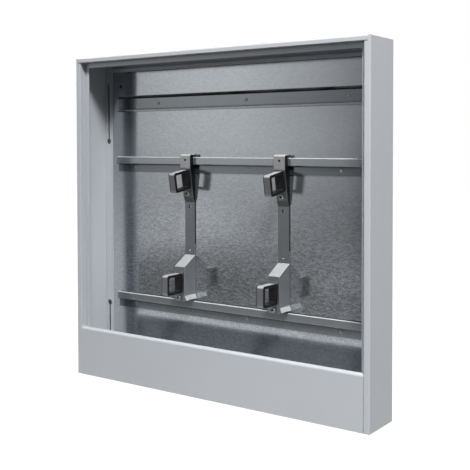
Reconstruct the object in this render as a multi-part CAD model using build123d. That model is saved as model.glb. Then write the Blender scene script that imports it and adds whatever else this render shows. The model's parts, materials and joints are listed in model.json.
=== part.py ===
from build123d import *
import math
import os

# Open-fronted, surface-mounted distribution cabinet for heating manifolds.
# X runs to the right, Y from the front to the wall, Z up. The origin is the middle of the
# footprint, on the floor. All lengths are millimetres.

# Painted casing of folded sheet
casing_width = 725.0
casing_height = 705.0
casing_depth = 95.0
casing_sheet = 1.5
casing_bend = 0.7
side_rim = 13.0
top_rim = 10.0
rebate_depth = 16.0
side_rebate_flange = 11.0
top_rebate_flange = 10.0
rear_flange = 22.0
top_rear_flange = 26.0
top_joggle_height = 7.0
top_joggle_depth = 6.0
corner_strip = 6.0
top_end_flange = 15.0
panel_joint_gap = 0.3

# Keyhole slots in the rear flanges of the side panels
slot_width = 5.0
slot_length = 128.0
keyhole_diameter = 12.5
slot_from_outside = 10.5
upper_keyhole_below_top = 183.0
lower_keyhole_z = 147.0

# Front apron over the pipe passage
apron_height = 106.5
apron_lip = 12.5
apron_hem = 10.0
apron_bend = 4.5
apron_end_flange = 15.0
apron_screw_diameter = 3.9
apron_screw_head = 7.0
apron_screw_head_height = 2.2
apron_screw_length = 7.0
apron_screw_depth = 8.0
apron_screw_low_z = 28.0
apron_screw_high_z = 72.0

# Galvanised back panel
panel_sheet = 1.0
panel_margin = 4.0
wall_hole_diameter = 7.0
wall_hole_spacing_x = 632.0
wall_hole_spacing_z = 590.0

# Rails riveted to the back panel
rail_length = 642.0
rail_sheet = 1.5
rail_bend = 0.6
rail_lip_height = 15.5
rail_flange_height = 19.0
rail_rivet_drop = 7.5
rail_standoff = 8.0
upper_rail_top = 487.0
lower_rail_top = 177.0
controller_rail_below_top = 86.5
controller_rail_height = 26.5
controller_rail_lip = 6.0
controller_rail_rise = 6.0
controller_rail_hem = 3.5
controller_rail_sheet = 1.2
rivet_diameter = 4.0
rivet_head_diameter = 8.0
rivet_head_height = 1.6
bracket_rail_rivets_x = (-268.0, 37.0, 255.0)
controller_rivet_pitch = 236.0
controller_rivet_middle_x = 35.0

# Manifold brackets, folded from one strip each
bracket_width = 27.0
bracket_sheet = 2.0
bracket_edge_radius = 1.2
bracket_panel_gap = 0.7
left_bracket_x = -112.5
right_bracket_x = 126.0
hook_gap = 0.3
hook_rise = 4.0
hook_bend = 2.0
hook_standoff = 19.0
hook_bottom_z = 465.0
hook_nib_width = 18.0
hook_nib_depth = 8.0
hook_nib_standoff = 5.0
rail_notch_gap = 0.5
rail_notch_below = 2.5
cradle_bottom_z = 400.0
cradle_bottom_standoff = 7.6
strip_top_z = 389.5
strip_bottom_z = 275.5
plate_top_z = 253.5
plate_standoff = 40.0
plate_bottom_z = 180.5
gusset_bottom_z = 192.0
foot_flare = 3.2
foot_bottom_z = 182.0
foot_front = 38.0
strip_hole_diameter = 7.0
strip_hole_high_z = 380.0
strip_hole_low_z = 287.0

# Clamps: a galvanised strap round a rubber liner
strap_width = 13.7
strap_sheet = 1.5
strap_corner = 5.0
strap_depth = 48.0
strap_height = 42.0
strap_slit = 0.6
strap_tab = 17.0
liner_wall = 3.4
liner_lip = 1.4
liner_corner = 2.5
liner_fit = 0.1
upper_clamp_z = 440.0
lower_clamp_z = 219.0

# Clamp screws and bracket locking screws
clamp_screw_diameter = 5.0
clamp_screw_head = 10.5
clamp_screw_head_height = 3.6
clamp_screw_drop = 10.0
clamp_screw_tail = 3.0
locking_screw_diameter = 5.0
locking_screw_z = 481.0
locking_screw_recess = 0.4
locking_screw_tip_gap = 0.3
locking_socket = 2.9
locking_socket_depth = 2.5
socket_share = 0.52
socket_depth_share = 0.7
head_edge_share = 0.22
screw_fit = 0.2
hole_fit = 0.1

# Places that follow from the sizes above
half_width = casing_width / 2
front_y = -(casing_depth + panel_sheet) / 2
panel_y = front_y + casing_depth
rebate_y = front_y + rebate_depth
opening_half = half_width - side_rim - side_rebate_flange
upper_keyhole_z = casing_height - upper_keyhole_below_top
controller_rail_top = casing_height - controller_rail_below_top
apron_half = half_width - side_rim
cut = 20.0
overrun = 1.0


def off_panel(standoff):
    return panel_y - standoff


def shifted(path, distance):
    # the path moved sideways, to its left, with mitred corners
    points = []
    for i, (x, y) in enumerate(path):
        directions = []
        if i > 0:
            directions.append((x - path[i - 1][0], y - path[i - 1][1]))
        if i < len(path) - 1:
            directions.append((path[i + 1][0] - x, path[i + 1][1] - y))
        normals = [(-dy / math.hypot(dx, dy), dx / math.hypot(dx, dy)) for dx, dy in directions]
        nx = sum(n[0] for n in normals) / len(normals)
        ny = sum(n[1] for n in normals) / len(normals)
        stretch = distance / (nx * nx + ny * ny)
        points.append((x + nx * stretch, y + ny * stretch))
    return points


def folded_section(path, sheet, bend):
    # outline of a sheet folded along the path, with the metal to the left of it
    inner = shifted(path, sheet)
    section = make_face(Polyline(*path, *reversed(inner), close=True))
    for i in range(1, len(path) - 1):
        before = (path[i][0] - path[i - 1][0], path[i][1] - path[i - 1][1])
        after = (path[i + 1][0] - path[i][0], path[i + 1][1] - path[i][1])
        turns_left = before[0] * after[1] - before[1] * after[0] > 0
        outside, inside = (path[i], inner[i]) if turns_left else (inner[i], path[i])
        section = fillet(nearest_corner(section, outside), bend + sheet)
        section = fillet(nearest_corner(section, inside), bend)
    return section


def nearest_corner(section, point):
    return section.vertices().sort_by_distance(Vector(*point, 0))[0]


def span(low, high):
    # a box between two opposite corners
    size = [b - a for a, b in zip(low, high)]
    return Pos(*low) * Box(*size, align=(Align.MIN, Align.MIN, Align.MIN))


def along_x(section, half_length):
    # a section drawn in Y and Z, drawn out to both sides of the middle
    return extrude(Plane.YZ * section, half_length, both=True)


def rod_y(diameter, x, z, start_y, end_y):
    rod = Cylinder(diameter / 2, end_y - start_y, align=(Align.CENTER, Align.CENTER, Align.MIN))
    return Pos(x, start_y, z) * Rot(X=-90) * rod


def screw(diameter, head_diameter, head_height, length):
    # a pan-headed screw with a socket, shank along +Y from the seat of its head
    head = Cylinder(head_diameter / 2, head_height, align=(Align.CENTER, Align.CENTER, Align.MAX))
    head = chamfer(head.edges().sort_by(Axis.Z)[0], head_height * head_edge_share)
    socket_depth = head_height * socket_depth_share
    socket = RegularPolygon(head_diameter * socket_share / 2, 6)
    head -= Pos(0, 0, -head_height) * extrude(socket, socket_depth)
    shank = Cylinder(diameter / 2, length, align=(Align.CENTER, Align.CENTER, Align.MIN))
    return Rot(X=-90) * (head + shank)


def set_screw(diameter, socket_width, socket_depth, length):
    # a headless screw along +Y with a socket in its front end
    body = Cylinder(diameter / 2, length, align=(Align.CENTER, Align.CENTER, Align.MIN))
    body -= extrude(RegularPolygon(socket_width / 2, 6), socket_depth)
    return Rot(X=-90) * body


def side_panel():
    # the right-hand side: rebate flange, return, rim, wall and rear flange in one sheet
    path = [
        (opening_half, rebate_y),
        (half_width - side_rim, rebate_y),
        (half_width - side_rim, front_y),
        (half_width, front_y),
        (half_width, panel_y),
        (half_width - rear_flange, panel_y),
    ]
    panel = extrude(folded_section(path, casing_sheet, casing_bend), casing_height)
    rim_top = casing_height - top_rim - panel_joint_gap
    rim_back = front_y + casing_sheet + casing_bend
    sheet_under = casing_height - casing_sheet - casing_bend - panel_joint_gap
    inside = half_width - casing_sheet
    panel -= span((opening_half - cut, front_y - cut, rim_top),
                  (half_width - corner_strip, rebate_y + cut, casing_height + cut))
    panel -= span((opening_half - cut, rim_back, sheet_under),
                  (inside, panel_y + cut, casing_height + cut))
    slot_x = half_width - slot_from_outside
    for keyhole_z, far_end_z in ((upper_keyhole_z, upper_keyhole_z + slot_length),
                                 (lower_keyhole_z, lower_keyhole_z - slot_length)):
        low_z, high_z = sorted((keyhole_z, far_end_z))
        start_y, end_y = panel_y - casing_sheet - overrun, panel_y + overrun
        panel -= rod_y(keyhole_diameter, slot_x, keyhole_z, start_y, end_y)
        panel -= rod_y(slot_width, slot_x, far_end_z, start_y, end_y)
        panel -= span((slot_x - slot_width / 2, start_y, low_z), (slot_x + slot_width / 2, end_y, high_z))
    for z in (apron_screw_low_z, apron_screw_high_z):
        hole = Cylinder(apron_screw_diameter / 2 + hole_fit, 2 * (casing_sheet + overrun))
        panel -= Pos(half_width - side_rim, front_y + apron_screw_depth, z) * Rot(Y=90) * hole
    return panel


def top_panel():
    # the rear flange steps forward at its lower edge, in front of the back panel
    top = casing_height
    joggle_y = off_panel(top_joggle_depth)
    joggle_z = top - top_rear_flange + top_joggle_height
    path = [
        (joggle_y, top - top_rear_flange),
        (joggle_y, joggle_z),
        (panel_y, joggle_z),
        (panel_y, top),
        (front_y, top),
        (front_y, top - top_rim),
        (rebate_y, top - top_rim),
        (rebate_y, top - top_rim - top_rebate_flange),
    ]
    inside_half = half_width - casing_sheet
    rim_half = half_width - corner_strip - panel_joint_gap
    return_half = half_width - side_rim - panel_joint_gap
    flange_half = opening_half - panel_joint_gap
    rear_half = half_width - rear_flange - panel_joint_gap
    panel = along_x(folded_section(path, casing_sheet, casing_bend), inside_half)
    under_sheet = top - casing_sheet
    under_bend = under_sheet - casing_bend
    rim_back = front_y + casing_sheet + casing_bend
    for side in (-1, 1):
        end = side * (half_width + cut)
        trims = (
            (rim_half, front_y - cut, rim_back, top - top_rim - cut, top + cut),
            (return_half, rim_back, rebate_y + cut, top - top_rim - cut, under_bend),
            (flange_half, front_y - cut, rebate_y + cut, top - top_rim - cut, top - top_rim),
            (rear_half, panel_y - cut, panel_y + cut, top - top_rear_flange - cut, under_bend),
        )
        for half, y0, y1, z0, z1 in trims:
            x0, x1 = sorted((side * half, end))
            panel -= span((x0, y0, z0), (x1, y1, z1))
        # end flange welded to the inside of the side panel
        x0, x1 = sorted((side * (inside_half - casing_sheet), side * inside_half))
        panel += span((x0, rebate_y + 2 * casing_sheet, top - top_end_flange),
                      (x1, panel_y - 2 * casing_sheet, under_sheet))
    return panel


def front_apron():
    # the plate's top is rolled over to the back
    path = [
        (front_y + apron_lip, apron_height - apron_hem),
        (front_y + apron_lip, apron_height),
        (front_y, apron_height),
        (front_y, 0),
    ]
    apron = along_x(folded_section(path, casing_sheet, apron_bend), apron_half)
    flange_clear = opening_half - panel_joint_gap
    lip_stop = rebate_y - casing_bend - panel_joint_gap
    for side in (-1, 1):
        x0, x1 = sorted((side * flange_clear, side * (half_width + cut)))
        apron -= span((x0, lip_stop, -cut), (x1, panel_y, apron_height + cut))
        x0, x1 = sorted((side * (apron_half - casing_sheet), side * apron_half))
        flange_top = apron_height - casing_sheet - apron_bend
        flange = span((x0, front_y + casing_sheet, 0), (x1, front_y + apron_end_flange, flange_top))
        for z in (apron_screw_low_z, apron_screw_high_z):
            hole = Cylinder(apron_screw_diameter / 2 + hole_fit, 2 * (casing_sheet + overrun))
            flange -= Pos(side * apron_half, front_y + apron_screw_depth, z) * Rot(Y=90) * hole
        apron += flange
    return apron


def apron_screws():
    solids = []
    for side in (-1, 1):
        for z in (apron_screw_low_z, apron_screw_high_z):
            seat_x = side * (apron_half - casing_sheet)
            turn = Rot(Z=-90 * side)
            item = screw(apron_screw_diameter, apron_screw_head, apron_screw_head_height, apron_screw_length)
            solids.append(Pos(seat_x, front_y + apron_screw_depth, z) * turn * item)
    return Compound(children=solids)


def rail_rivet_places():
    places = []
    for top in (upper_rail_top, lower_rail_top):
        flange_z = top - rail_lip_height - rail_rivet_drop
        places += [(x, flange_z, rail_sheet) for x in bracket_rail_rivets_x]
    web_z = controller_rail_top - controller_rail_height / 2
    for step in (-1, 0, 1):
        x = controller_rivet_middle_x + step * controller_rivet_pitch
        places.append((x, web_z, controller_rail_sheet))
    return places


def drilled_for_rivets(item):
    hole_diameter = rivet_diameter + 2 * hole_fit
    end_y = panel_y + panel_sheet + overrun
    for x, z, sheet in rail_rivet_places():
        item -= rod_y(hole_diameter, x, z, off_panel(sheet) - overrun, end_y)
    return item


def back_panel():
    half = half_width - panel_margin
    panel = span((-half, panel_y, 0), (half, panel_y + panel_sheet, casing_height - panel_margin))
    for x in (-wall_hole_spacing_x / 2, wall_hole_spacing_x / 2):
        for z in (-wall_hole_spacing_z / 2, wall_hole_spacing_z / 2):
            hole_z = casing_height / 2 + z
            panel -= rod_y(wall_hole_diameter, x, hole_z, panel_y - overrun, panel_y + panel_sheet + overrun)
    return drilled_for_rivets(panel)


def bracket_rail(top):
    # a flange on the panel, a short web and a free lip, turned back at its top, that the brackets hook over
    web_z = top - rail_lip_height
    lip_y = off_panel(rail_standoff - rail_sheet)
    return_end = off_panel(hook_nib_standoff + hook_gap)
    path = [
        (panel_y, web_z - rail_flange_height),
        (panel_y, web_z),
        (lip_y, web_z),
        (lip_y, top - rail_sheet),
        (return_end, top - rail_sheet),
    ]
    return drilled_for_rivets(along_x(folded_section(path, rail_sheet, rail_bend), rail_length / 2))


def controller_rail():
    # a web on the panel, with a lip that leans out at its top and a small hem at its foot
    low, high = controller_rail_top - controller_rail_height, controller_rail_top
    hem_y = off_panel(controller_rail_lip - controller_rail_sheet)
    path = [
        (hem_y, low - controller_rail_hem),
        (hem_y, low),
        (panel_y, low),
        (panel_y, high),
        (off_panel(controller_rail_lip), high + controller_rail_rise),
    ]
    section = folded_section(path, controller_rail_sheet, rail_bend)
    return drilled_for_rivets(along_x(section, rail_length / 2))


def rail_rivets():
    solids = []
    for x, z, sheet in rail_rivet_places():
        seat_y = off_panel(sheet)
        # the head is the cap of a larger ball
        radius = rivet_head_diameter / 2
        ball = (radius ** 2 + rivet_head_height ** 2) / (2 * rivet_head_height)
        latitude = math.degrees(math.asin((ball - rivet_head_height) / ball))
        head = Sphere(ball, arc_size1=latitude, arc_size2=90, align=(Align.CENTER, Align.CENTER, Align.MIN))
        head = Pos(x, seat_y, z) * Rot(X=90) * head
        solids.append(head + rod_y(rivet_diameter, x, z, seat_y, panel_y + panel_sheet))
    return Compound(children=solids)


def bracket_front():
    # the bracket's front line from the hook to the foot, as standoff from the panel and height
    strip = bracket_panel_gap + bracket_sheet
    return [
        (hook_standoff, upper_rail_top + hook_rise + bracket_sheet),
        (hook_standoff, hook_bottom_z),
        (cradle_bottom_standoff, cradle_bottom_z),
        (strip, strip_top_z),
        (strip, strip_bottom_z),
        (plate_standoff, plate_top_z),
        (plate_standoff, plate_bottom_z),
    ]


def cradle_tilt():
    lean = hook_standoff - cradle_bottom_standoff
    return math.degrees(math.atan2(lean, hook_bottom_z - cradle_bottom_z))


def cradle_standoff(z):
    return hook_standoff - (hook_bottom_z - z) * math.tan(math.radians(cradle_tilt()))


def clamp_places(bracket_x):
    # where the two straps sit against a bracket
    upper = Pos(bracket_x, off_panel(cradle_standoff(upper_clamp_z)), upper_clamp_z) * Rot(X=cradle_tilt())
    lower = Pos(bracket_x, off_panel(plate_standoff), lower_clamp_z)
    return {"upper": upper, "lower": lower}


def manifold_bracket(bracket_x):
    front = bracket_front()
    half = bracket_width / 2
    hook_top = front[0][1]
    back = [(bracket_panel_gap, plate_bottom_z), (bracket_panel_gap, hook_top)]
    outline = [(off_panel(f), z) for f, z in front + back]
    side_view = make_face(Polyline(*outline, close=True))
    side_view = fillet(nearest_corner(side_view, outline[0]), hook_bend + bracket_sheet)
    body = along_x(side_view, half)
    front_edges = []
    for (f0, z0), (f1, z1) in zip(front, front[1:]):
        for x in (-half, half):
            middle = Vector(x, off_panel((f0 + f1) / 2), (z0 + z1) / 2)
            front_edges.append(body.edges().sort_by_distance(middle)[0])
    body = fillet(front_edges, bracket_edge_radius)

    # hollow behind the front, open towards the panel
    inner = shifted(front, -bracket_sheet)
    hook_under = hook_top - bracket_sheet
    behind = bracket_panel_gap - cut
    upper = [(inner[0][0], hook_under), *inner[1:4], (behind, inner[3][1]), (behind, hook_under)]
    lower = [inner[4], inner[5], (inner[6][0], plate_bottom_z - cut),
             (behind, plate_bottom_z - cut), (behind, inner[4][1])]
    for hollow in (upper, lower):
        points = [(off_panel(f), z) for f, z in hollow]
        room = make_face(Polyline(*points, close=True))
        if hollow is upper:
            room = fillet(nearest_corner(room, points[0]), hook_bend)
        body -= along_x(room, half - bracket_sheet)

    # clearance for the rail behind the hook, then the nib that drops behind the rail's lip
    web_low = upper_rail_top - rail_lip_height - rail_notch_below
    flange_low = web_low - rail_flange_height
    lip_front = off_panel(rail_standoff + rail_notch_gap)
    rivet_front = off_panel(rail_sheet + rivet_head_height + rail_notch_gap)
    nib_back = off_panel(hook_nib_standoff - bracket_sheet)
    past = half + overrun
    body -= span((-past, lip_front, web_low), (past, panel_y + cut, hook_under))
    body -= span((-past, rivet_front, flange_low), (past, panel_y + cut, web_low + overrun))
    body -= span((-past, nib_back, web_low), (past, panel_y + cut, hook_top + overrun))
    body += span((-hook_nib_width / 2, off_panel(hook_nib_standoff), hook_under - hook_nib_depth),
                 (hook_nib_width / 2, nib_back, hook_top))

    # the foot: the lower ends of the side walls flare out, clear of the lower rail
    plate_back = off_panel(plate_standoff - bracket_sheet)
    body -= span((-past, plate_back, plate_bottom_z - overrun), (past, panel_y + cut, gusset_bottom_z))
    for side in (-1, 1):
        profile = [(side * (half - bracket_sheet), gusset_bottom_z), (side * half, gusset_bottom_z),
                   (side * (half + foot_flare), foot_bottom_z),
                   (side * (half + foot_flare - bracket_sheet), foot_bottom_z)]
        flare = make_face(Polyline(*profile, close=True))
        depth = foot_front - bracket_panel_gap
        body += Pos(0, off_panel(bracket_panel_gap), 0) * extrude(Plane.XZ * flare, depth)

    # holes: two in the strip, two for the clamp screws, one for the locking screw
    for z in (strip_hole_high_z, strip_hole_low_z):
        start_y = off_panel(bracket_panel_gap + bracket_sheet + overrun)
        body -= rod_y(strip_hole_diameter, 0, z, start_y, panel_y)
    for place in clamp_places(0).values():
        hole = rod_y(clamp_screw_diameter + screw_fit, 0, clamp_screw_z(), -overrun, 2 * bracket_sheet)
        body -= place * hole
    hole = rod_y(locking_screw_diameter + screw_fit, 0, locking_screw_z,
                 off_panel(hook_standoff + overrun), off_panel(hook_standoff - 2 * bracket_sheet))
    body -= hole
    return Pos(bracket_x, 0, 0) * body


def clamp_screw_z():
    # measured along the clamp from the middle of its loop
    return -strap_height / 2 - clamp_screw_drop


def loop(depth, height, corner, width):
    # a rounded block round the clamp's middle, with its back plane at strap_depth behind the front
    block = extrude(Plane.YZ * RectangleRounded(depth, height, corner), width / 2, both=True)
    return Pos(0, -strap_depth / 2, 0) * block


def clamp_strap():
    # rounded loop, slit where the strap's end meets its tab, and the tab for the screw
    room_depth = strap_depth - 2 * strap_sheet
    room_height = strap_height - 2 * strap_sheet
    strap = loop(strap_depth, strap_height, strap_corner, strap_width)
    strap -= loop(room_depth, room_height, strap_corner - strap_sheet, strap_width + overrun)
    low = -strap_height / 2
    strap += span((-strap_width / 2, -strap_sheet, low - strap_tab), (strap_width / 2, 0, low + strap_corner))
    slit_z = low + strap_corner
    strap -= span((-strap_width, -strap_sheet - overrun, slit_z), (strap_width, overrun, slit_z + strap_slit))
    strap -= rod_y(clamp_screw_diameter + screw_fit, 0, clamp_screw_z(), -strap_sheet - overrun, overrun)
    return strap


def clamp_liner():
    # rubber loop inside the strap, with lips that cover the strap's edges
    room_depth = strap_depth - 2 * strap_sheet
    room_height = strap_height - 2 * strap_sheet
    room_corner = strap_corner - strap_sheet
    width = strap_width + 2 * (liner_fit + liner_lip)
    ring_depth = room_depth - 2 * liner_fit
    ring_height = room_height - 2 * liner_fit
    liner = loop(ring_depth, ring_height, room_corner - liner_fit, width)
    edge = loop(strap_depth - 2 * liner_fit, strap_height, strap_corner, width)
    edge -= loop(strap_depth + overrun, strap_height + overrun, strap_corner, strap_width + 2 * liner_fit)
    liner += edge
    bore_depth = ring_depth - 2 * liner_wall
    bore_height = ring_height - 2 * liner_wall
    return liner - loop(bore_depth, bore_height, liner_corner, width + overrun)


def clamp_screws(bracket_x):
    length = strap_sheet + bracket_sheet + clamp_screw_tail
    item = screw(clamp_screw_diameter, clamp_screw_head, clamp_screw_head_height, length)
    seat = Pos(0, -strap_sheet, clamp_screw_z())
    return Compound(children=[place * seat * item for place in clamp_places(bracket_x).values()])


def locking_screw(bracket_x):
    front = hook_standoff - locking_screw_recess
    length = front - rail_standoff - locking_screw_tip_gap
    item = set_screw(locking_screw_diameter, locking_socket, locking_socket_depth, length)
    return Pos(bracket_x, off_panel(front), locking_screw_z) * item


def main():
    right_side = side_panel()
    nodes = {
        "back_panel": back_panel(),
        "right_side_panel": right_side,
        "left_side_panel": mirror(right_side, about=Plane.YZ),
        "top_panel": top_panel(),
        "front_apron": front_apron(),
        "apron_screws": apron_screws(),
        "controller_rail": controller_rail(),
        "upper_bracket_rail": bracket_rail(upper_rail_top),
        "lower_bracket_rail": bracket_rail(lower_rail_top),
        "rail_rivets": rail_rivets(),
    }
    strap, liner = clamp_strap(), clamp_liner()
    for side, bracket_x in (("left", left_bracket_x), ("right", right_bracket_x)):
        nodes[f"{side}_manifold_bracket"] = manifold_bracket(bracket_x)
        nodes[f"{side}_locking_screw"] = locking_screw(bracket_x)
        nodes[f"{side}_clamp_screws"] = clamp_screws(bracket_x)
        for level, place in clamp_places(bracket_x).items():
            nodes[f"{side}_{level}_clamp_strap"] = place * strap
            nodes[f"{side}_{level}_clamp_liner"] = place * liner

    os.makedirs("parts", exist_ok=True)
    for name, shape in nodes.items():
        export_step(shape, os.path.join("parts", name + ".step"))


main()
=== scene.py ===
import json
import math
import bpy
from mathutils import Matrix, Vector

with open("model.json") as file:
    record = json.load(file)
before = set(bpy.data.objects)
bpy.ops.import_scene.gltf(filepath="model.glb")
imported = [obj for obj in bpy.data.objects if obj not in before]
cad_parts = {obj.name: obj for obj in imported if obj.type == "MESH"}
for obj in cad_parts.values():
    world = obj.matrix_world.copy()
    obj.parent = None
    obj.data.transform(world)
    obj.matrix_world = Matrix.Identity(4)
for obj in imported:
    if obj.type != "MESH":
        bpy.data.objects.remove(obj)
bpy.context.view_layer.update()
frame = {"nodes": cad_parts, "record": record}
nodes = frame["nodes"]
scene = bpy.context.scene
scene.view_settings.view_transform = "Standard"
print("frame loaded, CAD pieces:", len(nodes))


class Signal:
    # a socket's value in a node tree, so that shader maths reads as plain expressions
    def __init__(self, tree, socket):
        self.tree = tree
        self.socket = socket

    def node(self, kind, settings=None, inputs=None, output=0):
        made = self.tree.nodes.new(kind)
        for name, value in (settings or {}).items():
            if name == "stops":
                self.setStops(made.color_ramp, value)
            else:
                setattr(made, name, value)
        for name, value in (inputs or {}).items():
            if isinstance(value, Signal):
                self.tree.links.new(value.socket, made.inputs[name])
            else:
                made.inputs[name].default_value = value
        return Signal(self.tree, made.outputs[output])

    def setStops(self, ramp, stops):
        while len(ramp.elements) < len(stops):
            ramp.elements.new(1.0)
        for element, (place, value) in zip(ramp.elements, stops):
            element.position = place
            element.color = (value, value, value, 1.0)

    def math(self, operation, first, second):
        return self.node("ShaderNodeMath", {"operation": operation}, {0: first, 1: second})

    def __add__(self, other):
        return self.math("ADD", self, other)

    def __radd__(self, other):
        return self.math("ADD", other, self)

    def __sub__(self, other):
        return self.math("SUBTRACT", self, other)

    def __rsub__(self, other):
        return self.math("SUBTRACT", other, self)

    def __mul__(self, other):
        return self.math("MULTIPLY", self, other)

    def __rmul__(self, other):
        return self.math("MULTIPLY", other, self)

    def __lt__(self, limit):
        return self.math("LESS_THAN", self, limit)

    def __gt__(self, limit):
        return self.math("GREATER_THAN", self, limit)

    def ramp(self, *stops):
        return self.node("ShaderNodeValToRGB", {"stops": stops}, {0: self})

    def change(self, start, end, first=0.0, last=1.0, way="LINEAR"):
        # runs from first to last while the value runs from start to end
        inputs = {0: self, 1: start, 2: end, 3: first, 4: last}
        return self.node("ShaderNodeMapRange", {"interpolation_type": way}, inputs)

    def axis(self, index):
        # one part of a vector: 0 across, 1 towards the wall, 2 up
        return self.node("ShaderNodeSeparateXYZ", {}, {0: self}, index)

    def vector(self, operation, *values):
        return self.node("ShaderNodeVectorMath", {"operation": operation}, dict(enumerate(values)))

    def mixColours(self, low, high):
        return self.node("ShaderNodeMix", {"data_type": "RGBA"}, {0: self, 6: low, 7: high}, 2)


def colour(r, g, b):
    return (r, g, b, 1.0)


def startMaterial(name):
    material = bpy.data.materials.new(name)
    material.use_nodes = True
    tree = material.node_tree
    shader = tree.nodes["Principled BSDF"]
    place = Signal(tree, tree.nodes.new("ShaderNodeTexCoord").outputs["Object"])
    return material, shader, place


def plug(shader, **signals):
    for name, signal in signals.items():
        socket = shader.inputs[name.replace("_", " ")]
        signal.tree.links.new(signal.socket, socket)


def noise(place, scale, detail=3.0, roughness=0.5, distortion=0.0):
    inputs = {"Vector": place, "Scale": scale, "Detail": detail}
    inputs.update({"Roughness": roughness, "Distortion": distortion})
    return place.node("ShaderNodeTexNoise", {}, inputs)


def bump(height, strength, distance):
    return height.node("ShaderNodeBump", {}, {"Height": height, "Strength": strength, "Distance": distance})


def faceDirection(place):
    return place.node("ShaderNodeNewGeometry", {}, {}, 1)


def openness(place, reach):
    # 1 on open faces, less in a piece's own inner corners, so that painted shade there stays with a piece
    # that slides
    settings = {"samples": 8, "only_local": True}
    return place.node("ShaderNodeAmbientOcclusion", settings, {"Distance": reach}, 1)


paint = {
    "light": colour(0.533, 0.558, 0.59),
    "dark": colour(0.503, 0.528, 0.559),
    "cloudScale": 9.0,
    "cloudDetail": 4.0,
    "peelScale": 620.0,
    "peelDetail": 2.0,
    "peelDepth": 0.00004,
    "peelStrength": 0.35,
    "roughness": 0.42,
    "roughnessChange": 0.1,
    "undersideShade": colour(0.27, 0.283, 0.3),  # painted shade on faces that look down
    "downward": -0.5,
    "shade": colour(0.09, 0.094, 0.1),  # painted shade in the inner corners of the bends
    "foldReach": 0.006,
    "foldStops": ((0.35, 0.0), (0.65, 1.0)),
}


def powderCoat():
    material, shader, place = startMaterial("greyPowderCoat")
    clouds = noise(place, paint["cloudScale"], paint["cloudDetail"])
    peel = noise(place, paint["peelScale"], paint["peelDetail"])
    tone = clouds.mixColours(paint["dark"], paint["light"])
    up = faceDirection(place).axis(2)
    # faces that look down get painted shade
    tone = (up < paint["downward"]).mixColours(tone, paint["undersideShade"])
    # painted shade in the inner corners of the bends, from the piece's own occlusion
    foldShade = openness(place, paint["foldReach"]).ramp(*paint["foldStops"])
    tone = foldShade.mixColours(paint["shade"], tone)
    gloss = clouds * paint["roughnessChange"] + (paint["roughness"] - paint["roughnessChange"] / 2)
    relief = bump(peel, paint["peelStrength"], paint["peelDepth"])
    plug(shader, Base_Color=tone, Roughness=gloss, Normal=relief)
    return material


zinc = {  # what all zinc finishes share
    "spangleScale": 600.0,
    "stretch": (0.36, 1.0, 1.0),  # the crystals lie drawn out along the sheet's rolling direction
    "stray": 0.003,  # how far their borders wander
    "tilt": 0.008,
    "grainScale": 900.0,
    "grainDetail": (2.0, 0.6),
    "stainScale": 6.0,
    "stainDetail": (5.0, 0.55, 0.3),
    "waveScale": 5.0,
    "waveDetail": 1.0,
    "flakeShare": 0.22,
    "grainShare": 0.25,
    "stainShare": 0.35,
    "evenShare": 0.09,
    "toneStops": ((0.2, 0.0), (0.8, 1.0)),
    "roughnessChange": 0.04,
    "paintedTopLight": 1.0,  # share of painted light on faces that look up, as a light matt zinc tone
    "paintedTopColour": colour(0.5, 0.51, 0.52),
    "paintedTopFrom": 0.12,
    "paintedTopFull": 0.5,
    "paintedTopRoughness": 0.3,
    "paintedTopCover": 0.9,  # how far the painted top light hides the metal
    "recess": 0.0,  # depth up to which recesses get painted shade
    "hollowShadeTone": colour(0.01, 0.01, 0.01),
    "recessStops": ((0.45, 0.0), (0.85, 1.0)),
}

zincPanel = dict(
    zinc,
    bright=colour(0.48, 0.51, 0.54),
    dull=colour(0.346, 0.37, 0.393),
    metallic=0.86,
    roughness=0.13,
    tilt=0.007,
    waveDepth=0.0008,
    paintedTopLight=0.0,
    frontward=-0.5,  # a face looks to the front where its direction towards the wall is below this
    fleck=0.75,  # how much the crystals differ in tone low on the sheet, where it is dusty
    fleckHeights=(0.22, 0.45),
    fleckThin=16.0,  # how many times weaker the flecks are above these heights
    footHeights=(0.14, 0.19),
    footShare=0.35,  # what is left of the flecks near the sheet's foot
    edgeLightFrom=(0.297, 0.305),  # from these distances from the middle the sheet gets a painted reflection, a bright strip beside the rear flanges
    edgeLightHeights=(0.26, 0.5),
    edgeLightShare=0.6,
    edgeLightTone=colour(0.74, 0.78, 0.81),
    slotShadeFrom=0.3402,  # past this distance from the middle the sheet gets painted shade, seen through the slots in the rear flanges
    slotShadeTone=colour(0.13, 0.134, 0.14),
)


def fleckPanel(place, facing, flake, tone, look):
    front = facing.axis(1) < look["frontward"]
    height = place.axis(2)
    low, high = look["fleckHeights"]
    dusty = height.change(low, high, look["fleck"], look["fleck"] / look["fleckThin"])
    foot = height.change(*look["footHeights"], look["footShare"])
    strength = (flake - 0.5) * dusty * foot * front + 1.0
    return tone.node("ShaderNodeVectorMath", {"operation": "SCALE"}, {0: tone, "Scale": strength})


def edgeLightAndSlotShade(place, facing, tone, look):
    front = facing.axis(1) < look["frontward"]
    across = place.axis(0)
    reach = across.math("ABSOLUTE", across, 0.0)
    edgeLight = reach.change(*look["edgeLightFrom"])
    edgeLightBand = place.axis(2).change(*look["edgeLightHeights"], look["edgeLightShare"], 0.0)
    # painted reflection: a bright strip beside the rear flanges
    tone = (edgeLight * edgeLightBand * front).mixColours(tone, look["edgeLightTone"])
    # painted shade where the rear flanges cover the sheet, seen through their slots
    slotShade = (reach > look["slotShadeFrom"]) * front
    return slotShade.mixColours(tone, look["slotShadeTone"])


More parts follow.
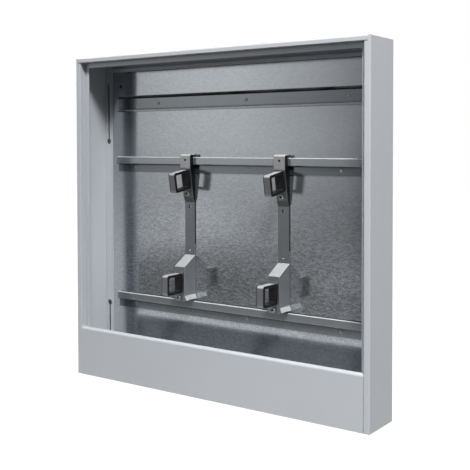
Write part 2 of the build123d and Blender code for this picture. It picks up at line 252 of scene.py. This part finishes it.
zincRail = dict(
    zinc,
    bright=colour(0.325, 0.352, 0.373),
    dull=colour(0.268, 0.29, 0.307),
    metallic=0.68,
    roughness=0.15,
    waveDepth=0.00004,
    recess=0.006,
    undersideShade=colour(0.03, 0.032, 0.034),  # painted shade on the faces that look down
    downward=-0.5,
    flangeDepth=0.043,  # past this depth, behind the lips, a rail is at least this metallic and darkened by painted shade
    bareMetal=0.88,
    paintedFlangeShade=0.34,
)

zincBracket = dict(
    zinc,
    bright=colour(0.272, 0.285, 0.302),
    dull=colour(0.19, 0.199, 0.212),
    metallic=0.95,
    roughness=0.36,
    waveDepth=0.0002,
    paintedTopColour=colour(0.345, 0.35, 0.36),
    paintedTopFrom=0.18,
    paintedTopFull=0.34,
    recess=0.004,
    shadedHeights=(0.3, 0.463),  # between these heights sloping faces get painted shade instead of the painted top light
    slopeShadeTone=colour(0.03, 0.03, 0.03),
    upward=0.2,
    upwardShade=0.75,
    downwardTilts=(-0.05, -0.42),
    downwardShade=0.88,
    flankTurn=0.6,
    flankAbove=0.3,  # side faces over this height get painted shade, those below it painted light
    flankShade=colour(0.035, 0.035, 0.037),
    flankLight=colour(0.5, 0.51, 0.52),
    hookLightAbove=0.463,  # over this height the hook gets a grainy painted highlight
    hookLightShare=0.7,
    hookLightTone=colour(0.75, 0.76, 0.77),
)


def shadeSlopes(place, up, tone, topLight, look):
    # painted shade on sloping faces between two heights, in place of the painted top light
    height = place.axis(2)
    low, high = look["shadedHeights"]
    shadedBand = (height > low) * (height < high)
    tone = (shadedBand * (up > look["upward"]) * look["upwardShade"]).mixColours(tone, look["slopeShadeTone"])
    leaning = up.change(*look["downwardTilts"], 0.0, look["downwardShade"])
    tone = (shadedBand * leaning).mixColours(tone, look["slopeShadeTone"])
    return tone, topLight * (1.0 - shadedBand)


def flankShadeAndHookLight(place, facing, grain, tone, look):
    height = place.axis(2)
    sideways = facing.axis(0)
    flank = (sideways * sideways) > look["flankTurn"]
    upper = height > look["flankAbove"]
    # painted shade on upper side faces, painted light on lower ones
    tone = (flank * upper).mixColours(tone, look["flankShade"])
    tone = (flank * (1.0 - upper)).mixColours(tone, look["flankLight"])
    # a grainy painted highlight on the hook above a height
    hookLight = (height > look["hookLightAbove"]) * (1.0 - flank)
    return (hookLight * grain * look["hookLightShare"]).mixColours(tone, look["hookLightTone"])


zincStrap = dict(
    zinc,
    bright=colour(0.245, 0.256, 0.271),
    dull=colour(0.177, 0.185, 0.197),
    metallic=0.93,
    roughness=0.42,
    waveDepth=0.0001,
    paintedTopColour=colour(0.36, 0.365, 0.375),
)

zincScrew = dict(
    zinc,
    bright=colour(0.56, 0.56, 0.56),
    dull=colour(0.33, 0.33, 0.333),
    metallic=1.0,
    roughness=0.25,
    waveDepth=0.00005,
    paintedTopLight=0.3,
    recess=0.004,
)

zincRivet = dict(
    zinc,
    bright=zincRail["bright"],
    dull=zincRail["dull"],
    metallic=0.68,
    roughness=0.4,
    waveDepth=0.00004,
    paintedTopLight=0.4,
)

blackSteel = dict(
    zincScrew,
    bright=colour(0.05, 0.05, 0.052),
    dull=colour(0.02, 0.02, 0.021),
    roughness=0.45,
    paintedTopLight=0.0,
)


def zincSheet(name, look):
    material, shader, place = startMaterial(name)
    facing = faceDirection(place)
    scale = look["spangleScale"]
    wander = place.node("ShaderNodeTexNoise", {}, {"Vector": place, "Scale": scale}, 1)
    drawn = place.vector("MULTIPLY", place, look["stretch"])
    bent = wander.vector("MULTIPLY_ADD", wander, (look["stray"],) * 3, drawn)
    flakes = place.node("ShaderNodeTexVoronoi", {}, {"Vector": bent, "Scale": scale}, 1)
    flake = flakes.node("ShaderNodeSeparateColor", {}, {0: flakes})
    grain = noise(place, look["grainScale"], *look["grainDetail"])
    stain = noise(place, look["stainScale"], *look["stainDetail"])
    wave = noise(place, look["waveScale"], look["waveDetail"])

    mask = flake * look["flakeShare"] + grain * look["grainShare"]
    mask = mask + stain * look["stainShare"] + look["evenShare"]
    tone = mask.ramp(*look["toneStops"]).mixColours(look["dull"], look["bright"])
    halfChange = look["roughnessChange"] / 2
    rough = (flake + stain) * halfChange + (look["roughness"] - halfChange)
    metal = None
    if "fleck" in look:
        tone = fleckPanel(place, facing, flake, tone, look)
    if look["paintedTopLight"]:
        # faces that look up get painted light: a light matt tone, rougher and less metallic
        up = facing.axis(2)
        topLight = up.ramp((look["paintedTopFrom"], 0.0), (look["paintedTopFull"], 1.0)) * look["paintedTopLight"]
        if "shadedHeights" in look:
            tone, topLight = shadeSlopes(place, up, tone, topLight, look)
        # faces that look down get painted shade
        if "undersideShade" in look:
            tone = (up < look["downward"]).mixColours(tone, look["undersideShade"])
        tone = topLight.mixColours(tone, look["paintedTopColour"])
        rough = rough + topLight * look["paintedTopRoughness"]
        metal = (1.0 - topLight * look["paintedTopCover"]) * look["metallic"]
    if "flangeDepth" in look:
        behindLips = place.axis(1) > look["flangeDepth"]
        metal = metal.math("MAXIMUM", metal, behindLips * look["bareMetal"])
        # painted shade on the rail flanges behind the lips
        tone = (behindLips * look["paintedFlangeShade"]).mixColours(tone, colour(0, 0, 0))
    if "slotShadeFrom" in look:
        tone = edgeLightAndSlotShade(place, facing, tone, look)
    if "flankAbove" in look:
        tone = flankShadeAndHookLight(place, facing, grain, tone, look)
    if look["recess"]:
        # painted shade in a piece's own recesses
        hollowShade = openness(place, look["recess"]).ramp(*look["recessStops"])
        tone = hollowShade.mixColours(look["hollowShadeTone"], tone)

    # each crystal of the zinc lies at its own small tilt, on a sheet that is a little wavy
    lean = flakes.vector("SUBTRACT", flakes, (0.5, 0.5, 0.5))
    tilted = lean.vector("MULTIPLY_ADD", lean, (look["tilt"],) * 3, facing)
    normal = tilted.vector("NORMALIZE", tilted)
    inputs = {"Height": wave, "Distance": look["waveDepth"], "Normal": normal}
    relief = wave.node("ShaderNodeBump", {}, inputs)
    plug(shader, Base_Color=tone, Roughness=rough, Normal=relief)
    if metal:
        plug(shader, Metallic=metal)
    else:
        shader.inputs["Metallic"].default_value = look["metallic"]
    return material


rubber = {
    "black": colour(0.004, 0.004, 0.005),
    "grey": colour(0.01, 0.01, 0.011),
    "grainScale": 900.0,
    "grainDetail": 2.0,
    "grainDepth": 0.00006,
    "grainStrength": 0.5,
    "dustScale": 60.0,
    "dustDetail": 4.0,
    "dustStops": ((0.35, 0.0), (0.75, 1.0)),
    "roughness": 0.5,
    "roughnessChange": 0.16,
    "gloss": 0.25,
}


def blackRubber():
    material, shader, place = startMaterial("blackRubber")
    grain = noise(place, rubber["grainScale"], rubber["grainDetail"])
    dust = noise(place, rubber["dustScale"], rubber["dustDetail"])
    tone = dust.ramp(*rubber["dustStops"]).mixColours(rubber["black"], rubber["grey"])
    rough = dust * rubber["roughnessChange"] + (rubber["roughness"] - rubber["roughnessChange"] / 2)
    relief = bump(grain, rubber["grainStrength"], rubber["grainDepth"])
    plug(shader, Base_Color=tone, Roughness=rough, Normal=relief)
    shader.inputs["Specular IOR Level"].default_value = rubber["gloss"]
    return material


def dressPieces():
    bySlot = {
        "grey_paint": powderCoat(),
        "galvanised_steel": zincSheet("zincPanel", zincPanel),
        "rail_steel": zincSheet("zincRail", zincRail),
        "bracket_steel": zincSheet("zincBracket", zincBracket),
        "strap_steel": zincSheet("zincStrap", zincStrap),
        "zinc_fastener": zincSheet("zincScrew", zincScrew),
        "black_steel": zincSheet("blackSteel", blackSteel),
        "black_rubber": blackRubber(),
    }
    rivetFinish = zincSheet("zincRivet", zincRivet)
    for part in frame["record"]["subparts"]:
        name = part["node"]
        mesh = nodes[name].data
        mesh.materials.clear()
        mesh.materials.append(rivetFinish if name == "rail_rivets" else bySlot[part["material_slot"]])
    print("finishes on", len(nodes), "pieces")


dressPieces()

studio = {
    "floorSize": 14.0,
    "floorDrop": 0.0005,
    "floorColour": colour(0.09, 0.09, 0.09),
    "floorRoughness": 0.9,
    "floorLift": 0.95,
    "skyForObject": 0.035,
    "evenSqueeze": (1.0, 1.0, 1.0),
    "lamps": [
        {"name": "keyLight", "place": (1.8, -1.95, 3.65), "aim": (0.4, 0.0, 0.25),
         "size": 0.8, "spread": 62.0, "power": 30.5, "mirrored": True},
        {"name": "fillLight", "place": (-2.0, -2.7, 1.1), "aim": (0.0, 0.0, 0.4),
         "size": 2.2, "spread": 180.0, "power": 22.0, "mirrored": False},
    ],
    "cards": [
        {"name": "wallCard",
         "corners": [(-5.0, -2.6, 0.0), (-0.5, -2.6, 0.0), (-0.5, -2.6, 2.4), (-5.0, -2.6, 2.4)],
         "glow": 1.18, "shade": 0.11,
         "middle": (-2.05, -2.6, 1.15), "reach": 1.35, "squeeze": (0.8, 1.0, 0.75),
         "spots": [{"glow": 0.44, "middle": (-2.2, -2.6, 0.0), "reach": 0.6, "squeeze": (1.0, 1.0, 2.0)}]},
        {"name": "cameraCard",
         "corners": [(-0.5, -2.6, 0.0), (4.0, -2.6, 0.0), (4.0, -2.6, 2.4), (-0.5, -2.6, 2.4)],
         "glow": 0.03, "shade": 0.03, "middle": (1.0, -2.6, 0.8), "reach": 1.5},
        {"name": "floorCard",
         "corners": [(-4.0, -2.6, 0.0), (3.0, -2.6, 0.0), (3.0, -0.52, 0.0), (-4.0, -0.52, 0.0)],
         "glow": 0.13, "shade": 0.28, "middle": (-0.95, -0.85, 0.0), "reach": 1.2,
         "spots": [{"glow": 0.5, "middle": (-2.05, -2.25, 0.0), "reach": 0.95},
                   {"glow": 0.2, "middle": (-0.42, -1.35, 0.0), "reach": 0.42}]},
        {"name": "ceilingCard",
         "corners": [(-4.0, -2.6, 2.4), (3.0, -2.6, 2.4), (3.0, 1.6, 2.4), (-4.0, 1.6, 2.4)],
         "glow": 3.0, "shade": 2.0, "middle": (-0.6, -0.6, 2.4), "reach": 2.5},
    ],
    "holeShadeDisc": {"across": (-0.316, 0.316), "heights": (0.0575, 0.6475), "depth": 0.0486,
                    "radius": 0.005, "sides": 20, "tone": colour(0.012, 0.012, 0.013)},
}


def seenDirectly(tree):
    # 1 for rays of the camera and of mirror-like or clear surfaces, which see the white surroundings
    path = tree.nodes.new("ShaderNodeLightPath")
    kinds = ("Is Camera Ray", "Is Glossy Ray", "Is Transmission Ray")
    camera, glossy, clear = [Signal(tree, path.outputs[kind]) for kind in kinds]
    total = camera + glossy + clear
    return total.math("MINIMUM", total, 1.0)


def lightWorld():
    world = bpy.data.worlds.new("studioWorld")
    scene.world = world
    world.use_nodes = True
    tree = world.node_tree
    background = tree.nodes["Background"]
    sky = studio["skyForObject"]
    strength = seenDirectly(tree) * (1.0 - sky) + sky
    tree.links.new(strength.socket, background.inputs["Strength"])
    background.inputs["Color"].default_value = colour(1.0, 1.0, 1.0)


def flatFace(name, corners):
    mesh = bpy.data.meshes.new(name)
    mesh.from_pydata(corners, [], [tuple(range(len(corners)))])
    face = bpy.data.objects.new(name, mesh)
    scene.collection.objects.link(face)
    return face


def layFloor():
    half = studio["floorSize"] / 2
    floor = flatFace("floor", [(-half, -half, 0), (half, -half, 0), (half, half, 0), (-half, half, 0)])
    floor.location.z = -studio["floorDrop"]
    material, shader, _ = startMaterial("paleFloor")
    shader.inputs["Base Color"].default_value = studio["floorColour"]
    shader.inputs["Roughness"].default_value = studio["floorRoughness"]
    lift = seenDirectly(material.node_tree) * studio["floorLift"]
    plug(shader, Emission_Color=lift.mixColours(colour(0, 0, 0), colour(1, 1, 1)))
    shader.inputs["Emission Strength"].default_value = 1.0
    floor.data.materials.append(material)


def hangLamp(look):
    lamp = bpy.data.lights.new(look["name"], "AREA")
    lamp.size = look["size"]
    lamp.energy = look["power"]
    lamp.spread = math.radians(look["spread"])
    hung = bpy.data.objects.new(look["name"], lamp)
    hung.location = look["place"]
    hung.visible_glossy = look["mirrored"]
    aim = Vector(look["aim"]) - Vector(look["place"])
    hung.rotation_euler = aim.to_track_quat("-Z", "Y").to_euler()
    scene.collection.objects.link(hung)


def spotFade(place, spot):
    # 0 in the middle of a soft oval spot, 1 past its reach
    offset = place.vector("SUBTRACT", place, spot["middle"])
    offset = offset.vector("MULTIPLY", offset, spot.get("squeeze", studio["evenSqueeze"]))
    far = offset.node("ShaderNodeVectorMath", {"operation": "LENGTH"}, {0: offset}, 1)
    return far.change(0.0, spot["reach"], way="SMOOTHSTEP")


def standCard(look):
    # a grey card that only mirror-like surfaces see, as round a photographer's table
    card = flatFace(look["name"], look["corners"])
    card.visible_camera = False
    card.visible_diffuse = False
    card.visible_shadow = False
    material, shader, place = startMaterial(look["name"])
    level = spotFade(place, look) * (look["shade"] - look["glow"]) + look["glow"]
    for spot in look.get("spots", []):
        level = level + (1.0 - spotFade(place, spot)) * spot["glow"]
    plug(shader, Emission_Color=level)
    shader.inputs["Emission Strength"].default_value = 1.0
    shader.inputs["Base Color"].default_value = colour(0, 0, 0)
    shader.inputs["Specular IOR Level"].default_value = 0.0
    card.data.materials.append(material)


def darkenHoles():
    # dark discs just behind the four screw holes, painted shade seen through them
    look = studio["holeShadeDisc"]
    material, shader, _ = startMaterial("holeShadeDisc")
    shader.inputs["Base Color"].default_value = look["tone"]
    shader.inputs["Specular IOR Level"].default_value = 0.0
    turns = [2 * math.pi * step / look["sides"] for step in range(look["sides"])]
    ring = [(look["radius"] * math.cos(turn), look["radius"] * math.sin(turn)) for turn in turns]
    for x in look["across"]:
        for z in look["heights"]:
            shadeDisc = flatFace("holeShadeDisc", [(x + right, look["depth"], z + up) for right, up in ring])
            shadeDisc.data.materials.append(material)


def buildStudio():
    lightWorld()
    layFloor()
    for look in studio["lamps"]:
        hangLamp(look)
    for look in studio["cards"]:
        standCard(look)
    darkenHoles()
    print("studio ready")


buildStudio()

shot = {
    "place": (1.0325, -1.4044, 0.512),
    "ahead": (-0.5777, 0.8162, 0.0),
    "pitch": -1.609,
    "roll": -0.097,
    "sensor": 36.0,
    "lens": 65.40,
    "shiftY": -0.1397,
}


def aimCamera():
    data = bpy.data.cameras.new("camera")
    data.sensor_width = shot["sensor"]
    data.lens = shot["lens"]
    data.shift_y = shot["shiftY"]
    camera = bpy.data.objects.new("camera", data)
    ahead = Vector(shot["ahead"]).normalized()
    down = math.radians(shot["pitch"])
    look = ahead * math.cos(down) + Vector((0, 0, math.sin(down)))
    turn = look.to_track_quat("-Z", "Y").to_matrix() @ Matrix.Rotation(math.radians(shot["roll"]), 3, "Z")
    camera.matrix_world = Matrix.Translation(shot["place"]) @ turn.to_4x4()
    scene.collection.objects.link(camera)
    scene.camera = camera
    print("camera placed")


aimCamera()
